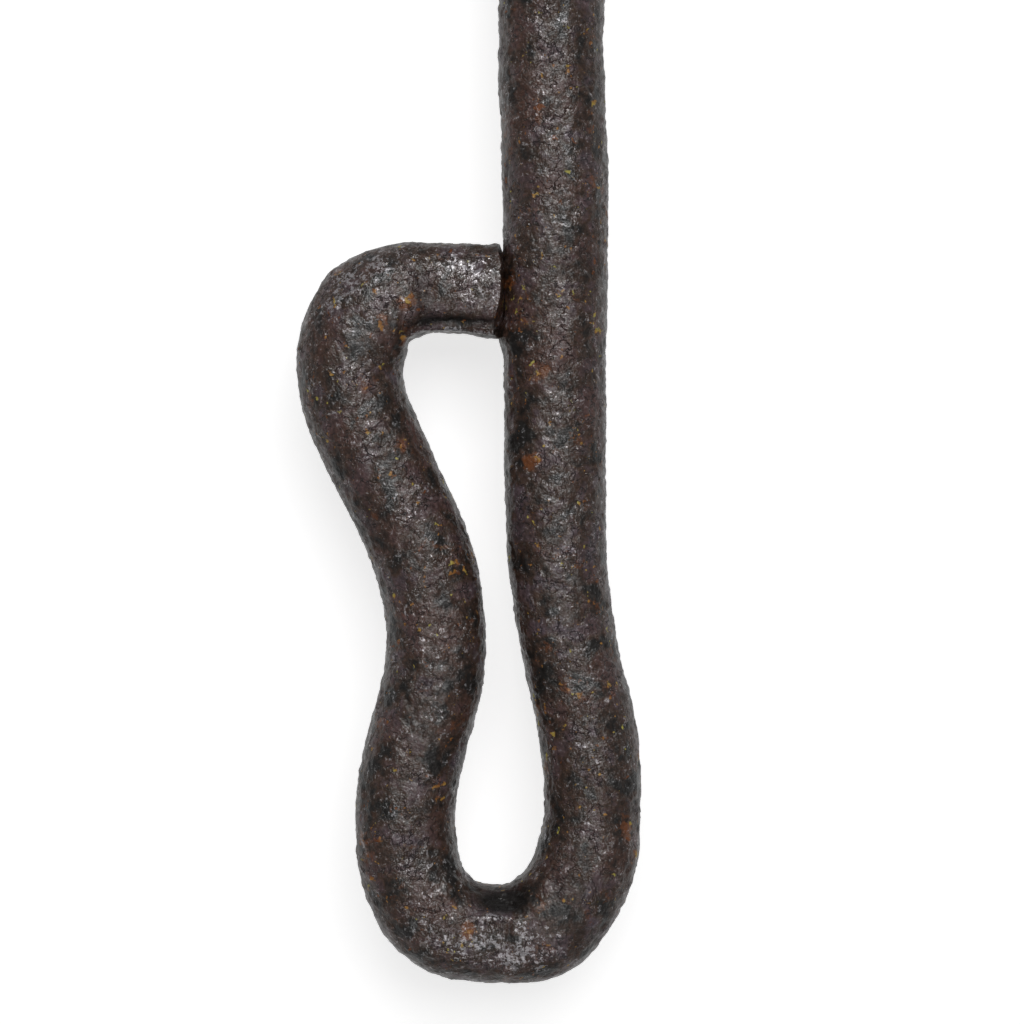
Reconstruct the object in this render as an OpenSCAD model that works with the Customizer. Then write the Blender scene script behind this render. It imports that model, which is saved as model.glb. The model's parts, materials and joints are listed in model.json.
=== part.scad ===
// Casement window fastener: a forged round bar that slides up into a keep and turns in two riveted
// guides, worked by the pinched loop that its lower end is bent into.
// +Z is up the window, the room is towards -Y, and the origin is on the wood, at the middle of the
// back plate's rear face.

/* [Bar] */
// Diameter of the round bar where it runs in the guides
bar_d = 12.7; // [11:0.1:13.6]
// Distance from the wood to the axis of the bar
bar_standoff = 15; // [14.8:0.1:20]
// Length of straight hand-forged shank below the running part
shank_length = 32.5; // [28:0.5:70]
// How far the running part shows below the lower guide when the window is fastened
bar_run_below = 2.5; // [1:0.5:10]
// How far the bar's tip stands above the keep's eye when the window is fastened
tip_beyond_keep = 6; // [4:0.5:15]
// Bevel round the bar's tip
tip_bevel = 1.6; // [0.5:0.1:2.5]

/* [Loop handle] */
// Angle by which the shank wanders off the bar's axis, and back
wander_angle = 1.6; // [0.4:0.1:3]
// Centreline radius of those two slight bends
wander_r = 60; // [40:1:90]
// Straight length between them
wander_run = 15.7; // [10:0.1:24]
// Straight length of shank beside the tail, down to the kink
beside_tail = 36.5; // [34:0.2:60]
// Centreline radius of the bend that sets the shank out to the right
kink_r = 88.7; // [70:0.1:110]
// Angle of that bend
kink_angle = 13.7; // [10:0.1:16]
// Straight length below it
kink_run = 2.7; // [1:0.1:10]
// Centreline radius of the bend back
kink_back_r = 47.9; // [35:0.2:60]
// Straight length from there to the bottom of the loop
right_run = 1.9; // [0.5:0.1:8]
// Centreline radius of the easy bends that lead into the two bottom corners
bottom_ease_r = 17.7; // [15:0.1:24]
// Angle of the right one
right_ease = 46.8; // [42:0.1:50]
// Centreline radius of the two bottom corners
bottom_r = 6.7; // [6.7:0.1:8.5]
// Angle of the right corner
right_corner = 47.5; // [44:0.5:50]
// Angle of the left corner
left_corner = 51; // [47:0.5:56]
// Straight length between the two corners
bottom_run = 3.6; // [1:0.1:6]
// Centreline radius where the left limb starts to lean in
lean_r = 29; // [18:0.1:36]
// How far the left limb leans in, towards the waist
lean_angle = 14.4; // [11:0.1:17]
// Straight length that leans in
lean_run = 7.2; // [4:0.5:12]
// Centreline radius of the waist
waist_r = 31.5; // [26:0.1:38]
// How far the left limb leans out above the waist
flare_angle = 25; // [20:0.5:30]
// Straight length that leans out
flare_run = 13.8; // [9:0.1:18]
// Centreline radius of the bend at the top left, back to upright
shoulder_r = 14.6; // [12:0.1:20]
// Centreline radius of the square corner into the tail
corner_r = 9.6; // [8:0.1:12]
// Gap between the end of the tail and the shank that it is bent up against
tail_gap = 0.15; // [0.1:0.05:1]
// Rounding of the tail's end
tail_round = 1; // [0.5:0.1:2]
// Angle of the tail's cut, back from the shank towards the room
tail_slant = 8; // [0:1:12]
// Angle of the tail's cut, back from the shank towards the bottom
tail_rake = 5; // [0:1:12]

/* [Back plate] */
// Width of the back plate and of the keep's plate
plate_w = 44; // [42:0.5:60]
// Thickness of both plates
plate_t = 3; // [2.6:0.1:3.2]
// Length of plate outside each guide, for its screws
plate_end = 24.2; // [20:0.2:40]
// Height of the arched end of the back plate
arch_h = 4; // [2:0.5:8]
// Radius of the hollow taken out of each corner
corner_hollow = 5; // [3:0.5:6.5]

/* [Guides] */
// Thickness of iron round a guide's bore
eye_wall = 4.65; // [3.5:0.05:5.5]
// Height of a guide's eye, along the bar
eye_h = 16; // [12:0.5:24]
// Height of a guide's foot, along the bar
foot_h = 13; // [10:0.5:18]
// Thickness of a guide's foot
foot_t = 3.5; // [3:0.1:4.5]
// Radius of the hollow between eye and foot
neck_r = 3; // [2:0.1:3.4]
// Bevel round the ends of the eye
eye_bevel = 1.2; // [0.4:0.1:2]
// Radius of the corners of a guide's feet
foot_corner_r = 4.5; // [2:0.5:4.5]

/* [Stop block] */
// Distance that the bar slides down to free the window
travel = 40; // [20:1:60]
// Height of the stop block
block_h = 24; // [18:0.5:36]
// Width of the stop block
block_w = 24; // [22:0.5:28]
// Depth of the stop block, front to back
block_d = 18; // [17:0.1:18.4]
// Radius of its upright corners
block_corner_r = 4; // [2:0.5:6]
// Bevel round its top and bottom
block_bevel = 1; // [0.4:0.1:1.6]
// Radius of the two pins that ride in the bar's groove
block_pin_r = 1.5; // [1.2:0.05:1.8]
// Radius that a pin's end is hammered out to
pin_head_r = 2.25; // [2:0.05:2.6]
// Height of that hammered end
pin_head_h = 1.05; // [0.6:0.05:1.2]
// Depth of the groove in the bar
groove_depth = 1.4; // [0.8:0.05:1.8]

/* [Leaf spring] */
// Width of the leaf spring
leaf_w = 9; // [7:0.5:10]
// Thickness of the leaf spring
leaf_t = 1.2; // [0.9:0.05:1.3]
// Length of the flat foot that is riveted to the plate
leaf_foot = 8; // [7:0.5:10]
// Length of each slope, from the plate up to the raised run
leaf_slope = 7; // [5:0.5:9]
// Length of the free toe that slides on the plate
leaf_toe = 4; // [2:0.5:6]
// Play at each end of the spring, between the guides
leaf_end_gap = 1; // [0.5:0.1:2]

/* [Rivets and screw holes] */
// Radius of a guide rivet's shank
rivet_r = 2; // [1.6:0.05:2.4]
// Radius of a guide rivet's domed head
rivet_head_r = 3.5; // [3:0.1:3.8]
// Height of that head
rivet_head_h = 2.2; // [1.5:0.1:3]
// Distance from the bar's axis to each guide rivet
rivet_x = 17; // [16.6:0.1:17.6]
// Radius of the leaf spring's rivet
leaf_rivet_r = 1.5; // [1.2:0.1:1.8]
// Radius of that rivet's head
leaf_rivet_head_r = 2.6; // [2.2:0.1:3]
// Height of that head
leaf_rivet_head_h = 0.9; // [0.6:0.1:1]
// Radius of the screw holes
screw_r = 2.4; // [2:0.1:3]
// Radius of a screw hole's countersink at the face
screw_sink_r = 4.2; // [3.6:0.1:4.6]
// Distance from the bar's axis to each screw hole
screw_x = 14; // [12.5:0.1:15]
// Distance from a plate's end to its screw holes
screw_edge = 10.5; // [10:0.1:12]

/* [Keep] */
// Height of the keep's plate, along the bar
keep_h = 40; // [37:0.5:60]
// Gap between back plate and keep's plate, across the joint between sash and frame
keep_gap = 8; // [5:0.5:14]
// Bevel inside the keep's lower mouth, which leads the bar's tip in
keep_lead = 1.5; // [0.5:0.1:2.5]

/* [Fits] */
// Radial clearance of the bar in its guides and in the stop block
running_gap = 0.08; // [0.02:0.01:0.1]
// Radial clearance of the bar's tip in the keep
keep_clearance = 0.6; // [0.3:0.05:0.9]
// Gap left between stop block and guide at each end of the travel
stop_gap = 0.3; // [0.1:0.05:0.5]
// Gap between the stop block's back and the leaf spring
leaf_gap = 0.2; // [0.1:0.05:0.4]
// Gap above and below a block pin in the bar's groove
groove_gap = 0.1; // [0.05:0.05:0.3]

/* [Hidden] */
$fn = 64;

iron = "#3a3230";
forged_iron = "#33292a";
spring_iron = "#40393a";

bar_r = bar_d / 2;
bore_r = bar_r + running_gap;
eye_r = bore_r + eye_wall;
axis_y = -bar_standoff;
foot_face_y = -(plate_t + foot_t);

// Heights of the pieces, from the middle of the back plate
guide_span = travel + block_h + 2 * stop_gap;
guide_z = (guide_span + eye_h) / 2;
plate_half = guide_span / 2 + eye_h + plate_end;
block_z = guide_span / 2 - stop_gap - block_h / 2;
keep_z = plate_half + keep_gap + keep_h / 2;
tip_z = keep_z + eye_h / 2 + tip_beyond_keep;
run_bottom_z = -(guide_span / 2 + eye_h + bar_run_below);
screw_z = plate_half - screw_edge;
keep_screw_z = keep_h / 2 - screw_edge + arch_h;

// Leaf spring: how far its raised run stands off the plate
leaf_rise = bar_standoff - block_d / 2 - leaf_gap - plate_t - leaf_t;
leaf_length = guide_span - 2 * leaf_end_gap;

// How far a cutter runs past what it cuts, and how far two forms of one solid lap into each other
past = 1;
lap = 2;
bite = 0.05;

// ---- The loop's centreline: [turn in degrees, radius] is a bend and [0, length] a straight run. ----
// A turn towards +X counts as positive. By the end of that stretch, the third number is the half
// thickness that the bar has been drawn to, the fourth how far its outer side is upset and the last
// how far it is beaten flat towards room and wall, all as shares of the bar's own radius.
TURN = 0;
SIZE = 1;
DRAWN = 2;
UPSET = 3;
FLAT = 4;
upright_turn = lean_angle + flare_angle;
left_ease = 180 - right_ease - right_corner - left_corner;
half_corner = 45;
loop = [
    [0, shank_length, 1, 0, 0],
    [wander_angle, wander_r, 1, 0, 0],
    [0, wander_run, 1, 0, 0],
    [-wander_angle, wander_r, 0.99, 0, 0],
    [0, beside_tail, 0.955, 0, 0],
    [kink_angle, kink_r, 0.89, 0, 0],
    [0, kink_run, 0.925, 0, 0],
    [-kink_angle, kink_back_r, 0.93, 0, 0],
    [0, right_run, 0.91, 0, 0],
    [-right_ease, bottom_ease_r, 0.96, 0.13, 0.05],
    [-right_corner, bottom_r, 0.94, 0.01, 0.11],
    [0, bottom_run, 0.94, 0, 0.12],
    [-left_corner, bottom_r, 0.97, 0.07, 0.11],
    [-left_ease, bottom_ease_r, 0.95, 0, 0.04],
    [-lean_angle, lean_r, 0.94, 0, 0],
    [0, lean_run, 0.94, 0, 0],
    [upright_turn, waist_r, 0.955, 0, 0],
    [0, flare_run, 0.98, 0, 0],
    [-flare_angle, shoulder_r, 0.985, 0.03, 0],
    [-half_corner, corner_r, 1.02, 0.16, 0.1],
    [-half_corner, corner_r, 0.91, 0, 0.12]
];
first_size = [1, 0, 0];
BESIDE_TAIL = 4;
tail_drawn = 0.9;
tail_flat = 0.08;

// Where a stretch starting at [x, z, heading] ends; a heading of 0 runs straight down
function heading_of(h) = [sin(h), -cos(h)];
function across(h) = [cos(h), sin(h)];
function after(from, part, share = 1) =
    part[TURN] == 0
        ? let (p = [from.x, from.y] + part[SIZE] * share * heading_of(from.z)) [p.x, p.y, from.z]
        : let (side = sign(part[TURN]), turned = from.z + part[TURN] * share,
               centre = [from.x, from.y] + side * part[SIZE] * across(from.z),
               p = centre - side * part[SIZE] * across(turned)) [p.x, p.y, turned];
function places(i, from) = i == len(loop) ? [from] : concat([from], places(i + 1, after(from, loop[i])));

starts = places(0, [0, run_bottom_z, 0]);
tail_start = starts[len(loop)];
shank_edge_x = starts[BESIDE_TAIL].x - bar_r * loop[BESIDE_TAIL - 1][DRAWN];
tail_lean = bar_r * tail_drawn * tan(tail_rake);
tail_length = shank_edge_x - tail_gap - tail_lean - tail_start.x;

// Rings: steps of about ring_turn degrees round a bend, ring_step millimetres along a run, and
// round_step degrees over the rounding of the tail's end
ring_turn = 6;
ring_step = 6;
round_step = 30;
ring_sides = 24;
squareness = 2.3;
function steps(part) = part[TURN] == 0 ? ceil(part[SIZE] / ring_step) : ceil(abs(part[TURN]) / ring_turn);
function part_way(i, column, share) =
    let (before = i == 0 ? first_size[column - DRAWN] : loop[i - 1][column])
        bar_r * (before + (loop[i][column] - before) * share);

// A ring is [x, z, heading, half thickness, upset, flat, share of the tail's slanted cut]
loop_rings = [
    for (i = [0:len(loop) - 1], n = [1:steps(loop[i])])
        let (share = n / steps(loop[i]))
            concat(after(starts[i], loop[i], share),
                   [for (k = [DRAWN, UPSET, FLAT]) part_way(i, k, share)], 0)
];
function tail_ring(along, size, cut) =
    [tail_start.x + along, tail_start.y, tail_start.z, bar_r * size, 0, bar_r * tail_flat, cut];
tail_rings = [
    tail_ring((tail_length - tail_round) * 0.5, (tail_drawn + loop[len(loop) - 1][DRAWN]) / 2, 0.5),
    for (a = [0:round_step:90])
        tail_ring(tail_length - tail_round * (1 - sin(a)),
                  tail_drawn - tail_round / bar_r * (1 - cos(a)), 1)
];
first_ring = [0, run_bottom_z + lap, 0, bar_r * first_size[0], 0, 0, 0];
rings = concat([first_ring], loop_rings, tail_rings);

// A point of a forged ring: a circle pushed out a little at its four corners, as a hammered bar is,
// beaten flat on both faces, and sheared along the bar where the tail is cut at a slant
function ring_point(ring, a) =
    let (c = cos(a), s = sin(a),
         wide = sign(c) * pow(abs(c), 2 / squareness) * (ring[3] + (c > 0 ? ring[4] : 0)),
         round_deep = sign(s) * pow(abs(s), 2 / squareness) * ring[3],
         face = ring[3] - ring[5],
         deep = max(-face, min(face, round_deep)),
         sheared = ring[6] * (deep * tan(tail_slant) + wide * tan(tail_rake)))
        [ring.x + wide * cos(ring.z) + sheared, axis_y + deep, ring.y + wide * sin(ring.z)];

module forged_loop() {
    last = len(rings) - 1;
    points = [for (ring = rings, k = [0:ring_sides - 1]) ring_point(ring, 360 * k / ring_sides)];
    sides = [
        for (i = [0:last - 1], k = [0:ring_sides - 1])
            let (next = (k + 1) % ring_sides, a = i * ring_sides, b = a + ring_sides)
                [a + k, a + next, b + next, b + k]
    ];
    top = [for (k = [ring_sides - 1:-1:0]) k];
    end = [for (k = [0:ring_sides - 1]) last * ring_sides + k];
    polyhedron(points, concat(sides, [top], [end]), convexity = 8);
}

module along_y(x, z) { translate([x, 0, z]) rotate([90, 0, 0]) children(); }

module at_bar() { translate([0, axis_y, 0]) children(); }

module bolt_bar() {
    groove_h = 2 * (block_pin_r + groove_gap);
    color(forged_iron) difference() {
        union() {
            at_bar() translate([0, 0, run_bottom_z])
                cylinder(r = bar_r, h = tip_z - tip_bevel - run_bottom_z);
            at_bar() translate([0, 0, tip_z - tip_bevel])
                cylinder(r1 = bar_r, r2 = bar_r - tip_bevel, h = tip_bevel);
            forged_loop();
        }
        at_bar() translate([0, 0, block_z - groove_h / 2]) difference() {
            cylinder(r = bar_r + past, h = groove_h);
            translate([0, 0, -past]) cylinder(r = bar_r - groove_depth, h = groove_h + 2 * past);
        }
    }
}

// ---- Plates ----
module plate_outline(half_h, arch) {
    half_w = plate_w / 2;
    difference() {
        union() {
            translate([-half_w, -half_h + arch]) square([plate_w, 2 * (half_h - arch)]);
            if (arch > 0) for (side = [-1, 1]) arch_end(side, half_h, arch);
        }
        for (sx = [-1, 1], sz = [-1, 1])
            translate([sx * half_w, sz * (half_h - arch)]) circle(r = corner_hollow);
    }
}

// The segment of a circle that rises by arch over the width left between the corner hollows
arch_sides = 128;

module arch_end(side, half_h, arch) {
    half = plate_w / 2 - corner_hollow;
    r = (half * half + arch * arch) / (2 * arch);
    intersection() {
        translate([0, side * (half_h - r)]) circle(r = r, $fn = arch_sides);
        translate([-half, side > 0 ? half_h - arch - lap : -half_h]) square([2 * half, arch + lap]);
    }
}

module plate_body(half_h, arch) {
    rotate([90, 0, 0]) linear_extrude(plate_t) plate_outline(half_h, arch);
}

module screw_holes(z) {
    sink_h = screw_sink_r - screw_r;
    for (sx = [-1, 1], sz = [-1, 1]) along_y(sx * screw_x, sz * z) {
        translate([0, 0, -past]) cylinder(r = screw_r, h = plate_t + 2 * past);
        translate([0, 0, plate_t - sink_h]) cylinder(r1 = screw_r, r2 = screw_sink_r, h = sink_h);
        translate([0, 0, plate_t]) cylinder(r = screw_sink_r, h = past);
    }
}

// ---- Rivets: a shank, a tail hammered flush into the back of the plate, and a domed head ----
tail_spread = 0.6;

module rivet_shank(r, through) {
    tail = min(r, plate_t) * tail_spread;
    cylinder(r = r, h = through);
    cylinder(r1 = r + tail, r2 = r, h = tail);
}

module rivet(r, head_r, head_h, through) {
    dome_r = (head_r * head_r + head_h * head_h) / (2 * head_h);
    rivet_shank(r, through);
    intersection() {
        translate([0, 0, through + head_h - dome_r]) sphere(r = dome_r);
        translate([0, 0, through]) cylinder(r = head_r + past, h = head_h + past);
    }
}

module guide_rivets(z) {
    color(iron) for (side = [-1, 1]) along_y(side * rivet_x, z)
        rivet(rivet_r, rivet_head_r, rivet_head_h, plate_t + foot_t);
}

module guide_rivet_holes(z) {
    for (side = [-1, 1]) along_y(side * rivet_x, z) rivet_shank(rivet_r, plate_t + foot_t);
}

module leaf_rivet_place() { along_y(0, -guide_span / 2 + leaf_end_gap + leaf_foot / 2) children(); }

module back_plate() {
    color(iron) difference() {
        plate_body(plate_half, arch_h);
        screw_holes(screw_z);
        for (z = [-guide_z, guide_z]) guide_rivet_holes(z);
        leaf_rivet_place() rivet_shank(leaf_rivet_r, plate_t + leaf_t);
    }
}

module keep_plate() {
    color(iron) difference() {
        translate([0, 0, keep_z]) difference() {
            plate_body(keep_h / 2, 0);
            screw_holes(keep_screw_z);
        }
        guide_rivet_holes(keep_z);
    }
}

// ---- Guides and the keep's eye ----
module eye_profile(inner, outer) {
    b = eye_bevel;
    h = eye_h / 2;
    polygon([[inner, -h], [outer - b, -h], [outer, b - h], [outer, h - b], [outer - b, h], [inner, h]]);
}

module foot_outline(outer) {
    reach = outer + neck_r;
    drop = -axis_y + foot_face_y - neck_r;
    neck_x = sqrt(reach * reach - drop * drop);
    touch = outer / reach;
    difference() {
        union() {
            translate([-plate_w / 2, foot_face_y]) square([plate_w, foot_t]);
            polygon([[-neck_x, foot_face_y], [neck_x, foot_face_y],
                     [neck_x * touch, axis_y + drop * touch], [-neck_x * touch, axis_y + drop * touch]]);
        }
        for (side = [-1, 1]) translate([side * neck_x, foot_face_y - neck_r]) circle(r = neck_r);
    }
}

// The feet seen from the room: a strip with rounded corners
module foot_front() {
    square([plate_w, foot_h - 2 * foot_corner_r], center = true);
    square([plate_w - 2 * foot_corner_r, foot_h], center = true);
    for (sx = [-1, 1], sz = [-1, 1])
        translate([sx * (plate_w / 2 - foot_corner_r), sz * (foot_h / 2 - foot_corner_r)])
            circle(r = foot_corner_r);
}

module eye_bracket(z, hole_r, lead) {
    outer = hole_r + eye_wall;
    difference() {
        union() {
            translate([0, axis_y, z]) rotate_extrude() eye_profile(0, outer);
            intersection() {
                translate([0, 0, z - foot_h / 2]) linear_extrude(foot_h) foot_outline(outer - bite);
                along_y(0, z) linear_extrude(bar_standoff) foot_front();
            }
        }
        translate([0, axis_y, z - eye_h]) cylinder(r = hole_r, h = 2 * eye_h);
        if (lead > 0) translate([0, axis_y, z - eye_h / 2])
            cylinder(r1 = hole_r + lead, r2 = hole_r, h = lead);
        guide_rivet_holes(z);
    }
}

module lower_guide() { color(iron) eye_bracket(-guide_z, bore_r, 0); }
module upper_guide() { color(iron) eye_bracket(guide_z, bore_r, 0); }
module keep_eye() { color(iron) eye_bracket(keep_z, bar_r + keep_clearance, keep_lead); }
module lower_guide_rivets() { guide_rivets(-guide_z); }
module upper_guide_rivets() { guide_rivets(guide_z); }
module keep_rivets() { guide_rivets(keep_z); }

// ---- Stop block, which slides with the bar but can't turn ----
// Half of a bevelled side view, from the middle line out to reach
module bevelled_half(reach) {
    h = block_h / 2;
    b = block_bevel;
    polygon([[0, -h], [reach - b, -h], [reach, b - h], [reach, h - b], [reach - b, h], [0, h]]);
}

module bevelled_slab(reach, width) {
    rotate([90, 0, 0]) linear_extrude(width, center = true) for (side = [0, 1])
        mirror([side, 0]) bevelled_half(reach);
}

// Two crossed slabs, and a round post in each corner
module block_form() {
    w = block_w / 2;
    d = block_d / 2;
    r = block_corner_r;
    bevelled_slab(w, 2 * (d - r));
    rotate([0, 0, 90]) bevelled_slab(d, 2 * (w - r));
    for (sx = [-1, 1], sy = [-1, 1])
        translate([sx * (w - r), sy * (d - r), 0]) rotate_extrude() bevelled_half(r);
}

pin_x = bar_r - groove_depth + groove_gap / 2 + block_pin_r;

module block_pin(side, extra) {
    translate([side * pin_x, axis_y + block_d / 2, block_z]) rotate([90, 0, 0])
        cylinder(r = block_pin_r, h = block_d + extra);
}

module stop_block() {
    color(iron) difference() {
        translate([0, axis_y, block_z]) block_form();
        translate([0, axis_y, block_z - block_h]) cylinder(r = bore_r, h = 2 * block_h);
        for (side = [-1, 1]) block_pin(side, past);
    }
}

module block_pins() {
    color(iron) for (side = [-1, 1]) {
        block_pin(side, 0);
        translate([side * pin_x, axis_y - block_d / 2, block_z]) rotate([90, 0, 0])
            cylinder(r1 = pin_head_r, r2 = block_pin_r, h = pin_head_h);
    }
}

// ---- Leaf spring, whose raised run rubs the back of the stop block ----
function ease(t) = (1 - cos(180 * t)) / 2;
function leaf_line() =
    let (run_end = leaf_length - leaf_toe - leaf_slope, bend = 8)
        concat([[0, 0]],
               [for (i = [0:bend]) [leaf_foot + leaf_slope * i / bend, leaf_rise * ease(i / bend)]],
               [for (i = [0:bend]) [run_end + leaf_slope * i / bend, leaf_rise * ease(1 - i / bend)]],
               [[leaf_length, 0]]);

module leaf_spring() {
    line = leaf_line();
    color(spring_iron) difference() {
        translate([leaf_w / 2, -plate_t, -leaf_length / 2]) rotate([0, -90, 0]) linear_extrude(leaf_w)
            polygon(concat([for (p = line) [p.x, -p.y]],
                           [for (i = [len(line) - 1:-1:0]) [line[i].x, -line[i].y - leaf_t]]));
        leaf_rivet_place() rivet_shank(leaf_rivet_r, plate_t + leaf_t + past);
    }
}

module leaf_rivet() {
    color(iron) leaf_rivet_place()
        rivet(leaf_rivet_r, leaf_rivet_head_r, leaf_rivet_head_h, plate_t + leaf_t);
}

back_plate();
lower_guide();
upper_guide();
lower_guide_rivets();
upper_guide_rivets();
leaf_spring();
leaf_rivet();
stop_block();
block_pins();
bolt_bar();
keep_plate();
keep_eye();
keep_rivets();
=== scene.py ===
import json
import bmesh
import bpy
import numpy as np
from mathutils import Matrix, Vector
from mathutils.bvhtree import BVHTree


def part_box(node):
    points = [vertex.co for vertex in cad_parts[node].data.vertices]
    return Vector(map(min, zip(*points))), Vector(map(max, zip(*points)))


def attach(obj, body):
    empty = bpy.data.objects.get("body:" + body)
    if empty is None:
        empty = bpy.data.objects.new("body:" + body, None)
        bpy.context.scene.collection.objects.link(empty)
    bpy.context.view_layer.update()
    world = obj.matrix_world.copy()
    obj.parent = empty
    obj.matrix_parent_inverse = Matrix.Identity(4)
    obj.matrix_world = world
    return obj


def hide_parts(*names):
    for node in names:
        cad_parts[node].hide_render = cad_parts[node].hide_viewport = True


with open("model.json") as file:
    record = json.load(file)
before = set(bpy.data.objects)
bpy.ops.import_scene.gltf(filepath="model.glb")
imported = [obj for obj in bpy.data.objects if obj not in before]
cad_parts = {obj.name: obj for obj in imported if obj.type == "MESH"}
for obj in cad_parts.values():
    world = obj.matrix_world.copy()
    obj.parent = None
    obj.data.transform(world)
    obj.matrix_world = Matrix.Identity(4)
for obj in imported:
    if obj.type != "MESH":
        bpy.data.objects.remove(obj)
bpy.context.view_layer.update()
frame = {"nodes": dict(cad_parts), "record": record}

mm = 0.001
pictureWidth = 1020
pictureHeight = 1024

# Places in the photograph, in pixels from its top left corner
rustPoints = dict(
    rustTail=(411, 302), rustCorner=(382, 315), rustLimb=(430, 490), rustShank=(531, 465),
    rustSeam=(540, 373), rustUpper=(590, 180), rustBowl=(573, 897), rustBottom=(466, 928))

# What mixes the bits of a noise lattice's corner into a number that looks random
cornerFactors = np.array([73856093, 19349663, 83492791])
seedFactor, firstFactor, secondFactor = 2654435761, 2246822519, 3266489917
wordMask, shareMask = 0xFFFFFFFF, 0xFFFFFF


def scramble(cells, seed):
    # whole-number cell -> 0 to 1: multiply its three numbers and xor them, then twice shift, xor and multiply
    parts = cells.astype(np.int64) * cornerFactors
    mixed = (parts[..., 0] ^ parts[..., 1] ^ parts[..., 2] ^ (seed * seedFactor)) & wordMask
    mixed = ((mixed ^ (mixed >> 15)) * firstFactor) & wordMask
    mixed = ((mixed ^ (mixed >> 13)) * secondFactor) & wordMask
    return ((mixed ^ (mixed >> 16)) & shareMask) / shareMask


def softNoise(points, size, seed):
    # gradient noise, about -1 to 1: a random slope at each corner of a lattice of that size, blended by
    # 6t^5 - 15t^4 + 10t^3
    scaled = points / size
    cell = np.floor(scaled)
    inside = scaled - cell
    blend = inside ** 3 * (inside * (inside * 6 - 15) + 10)
    total = np.zeros(len(points))
    for corner in np.ndindex(2, 2, 2):
        offset = np.array(corner)
        slope = np.stack([scramble(cell + offset, seed + k) * 2 - 1 for k in range(3)], -1)
        weight = np.prod(np.where(offset, blend, 1 - blend), -1)
        total += weight * np.sum(slope * (inside - offset), -1)
    return total * 1.5     # brings its usual reach near 1


def nearestBlow(points, size, seed):
    # distance to the nearest of one random centre per cell, as a share of the cell, and that centre's number
    scaled = points / size
    cell = np.floor(scaled)
    nearest = np.full(len(points), 9.0)     # further than any centre can be
    number = np.zeros(len(points))
    for step in np.ndindex(3, 3, 3):
        there = cell + np.array(step) - 1
        centre = there + np.stack([scramble(there, seed + k) for k in range(3)], -1)
        distance = np.linalg.norm(scaled - centre, axis=-1)
        closer = distance < nearest
        nearest = np.where(closer, distance, nearest)
        number = np.where(closer, scramble(there, seed + 7), number)
    return nearest, number


flatReach, flatRim, weakestFlat = 0.7, -0.4, 0.3     # a flat's radius in cells, raised rim and least share
pitReach, pitsAbove = 0.45, 0.7     # a pit's radius in cells, and the number above which a cell has one


def forgeRelief(points, recipe, seed):
    # millimetres in or out along the normal: hammer flats (shallow bowls round random centres), uneven
    # drawing (soft noise), scale and grit (finer noises) and pits (small bowls round some centres)
    flats, strength = nearestBlow(points, np.array(recipe["blowSize"]), seed)
    pressed = recipe["blowDepth"] * (weakestFlat + (1 - weakestFlat) * strength)
    relief = -pressed * np.clip(1 - (flats / flatReach) ** 2, flatRim, 1)
    relief += recipe["wander"] * softNoise(points, recipe["wanderSize"], seed + 20)
    relief += recipe["scale"] * softNoise(points, recipe["scaleSize"], seed + 40)
    relief += recipe["grit"] * softNoise(points, recipe["gritSize"], seed + 60)
    pits, chosen = nearestBlow(points, recipe["pitSize"], seed + 80)
    relief -= recipe["pitDepth"] * (chosen > pitsAbove) * np.clip(1 - (pits / pitReach) ** 2, 0, 1)
    return relief


def smoothStep(value, low, high):
    # 3t^2 - 2t^3, where t goes from 0 at low to 1 at high
    t = np.clip((value - low) / (high - low), 0, 1)
    return t * t * (3 - 2 * t)


def meshObject(name, points, faces):
    # faces over points in metres, shaded smooth
    mesh = bpy.data.meshes.new(name)
    mesh.from_pydata(points, [], faces)
    mesh.update()
    piece = bpy.data.objects.new(name, mesh)
    bpy.context.scene.collection.objects.link(piece)
    mesh.polygons.foreach_set("use_smooth", np.ones(len(mesh.polygons), bool))
    return piece


def gridNormals(grid):
    # cross product of the two directions of a grid that closes round its second index
    along = np.gradient(grid, axis=0)
    around = np.roll(grid, -1, 1) - np.roll(grid, 1, 1)
    normals = np.cross(along, around)
    return normals / np.maximum(np.linalg.norm(normals, axis=-1, keepdims=True), 1e-12)


def closedTube(name, grid):
    # quads between the grid's rings, with a fan on a middle point at each end
    rows, columns = grid.shape[:2]
    index = np.arange(rows * columns).reshape(rows, columns)
    here, there = index[:-1], index[1:]
    quads = np.stack([here, there, np.roll(there, -1, 1), np.roll(here, -1, 1)], -1).reshape(-1, 4)
    points = np.concatenate([grid.reshape(-1, 3), grid[0].mean(0)[None], grid[-1].mean(0)[None]])
    first, last = len(points) - 2, len(points) - 1
    firstFan = np.stack([np.full(columns, first), index[0], np.roll(index[0], -1)], -1)
    lastFan = np.stack([np.full(columns, last), np.roll(index[-1], -1), index[-1]], -1)
    return meshObject(name, points, quads.tolist() + firstFan.tolist() + lastFan.tolist())


def storeWearAndShade(piece, wearAndShade):
    # two numbers per vertex for the finish: how dark its hollow is painted with soot and painted shade, and
    # how bright it is rubbed
    for name, values in (("sootAndShade", -wearAndShade), ("rub", wearAndShade)):
        layer = piece.data.attributes.new(name, "FLOAT", "POINT")
        layer.data.foreach_set("value", np.clip(values, 0, 1).astype(np.float32))


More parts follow.
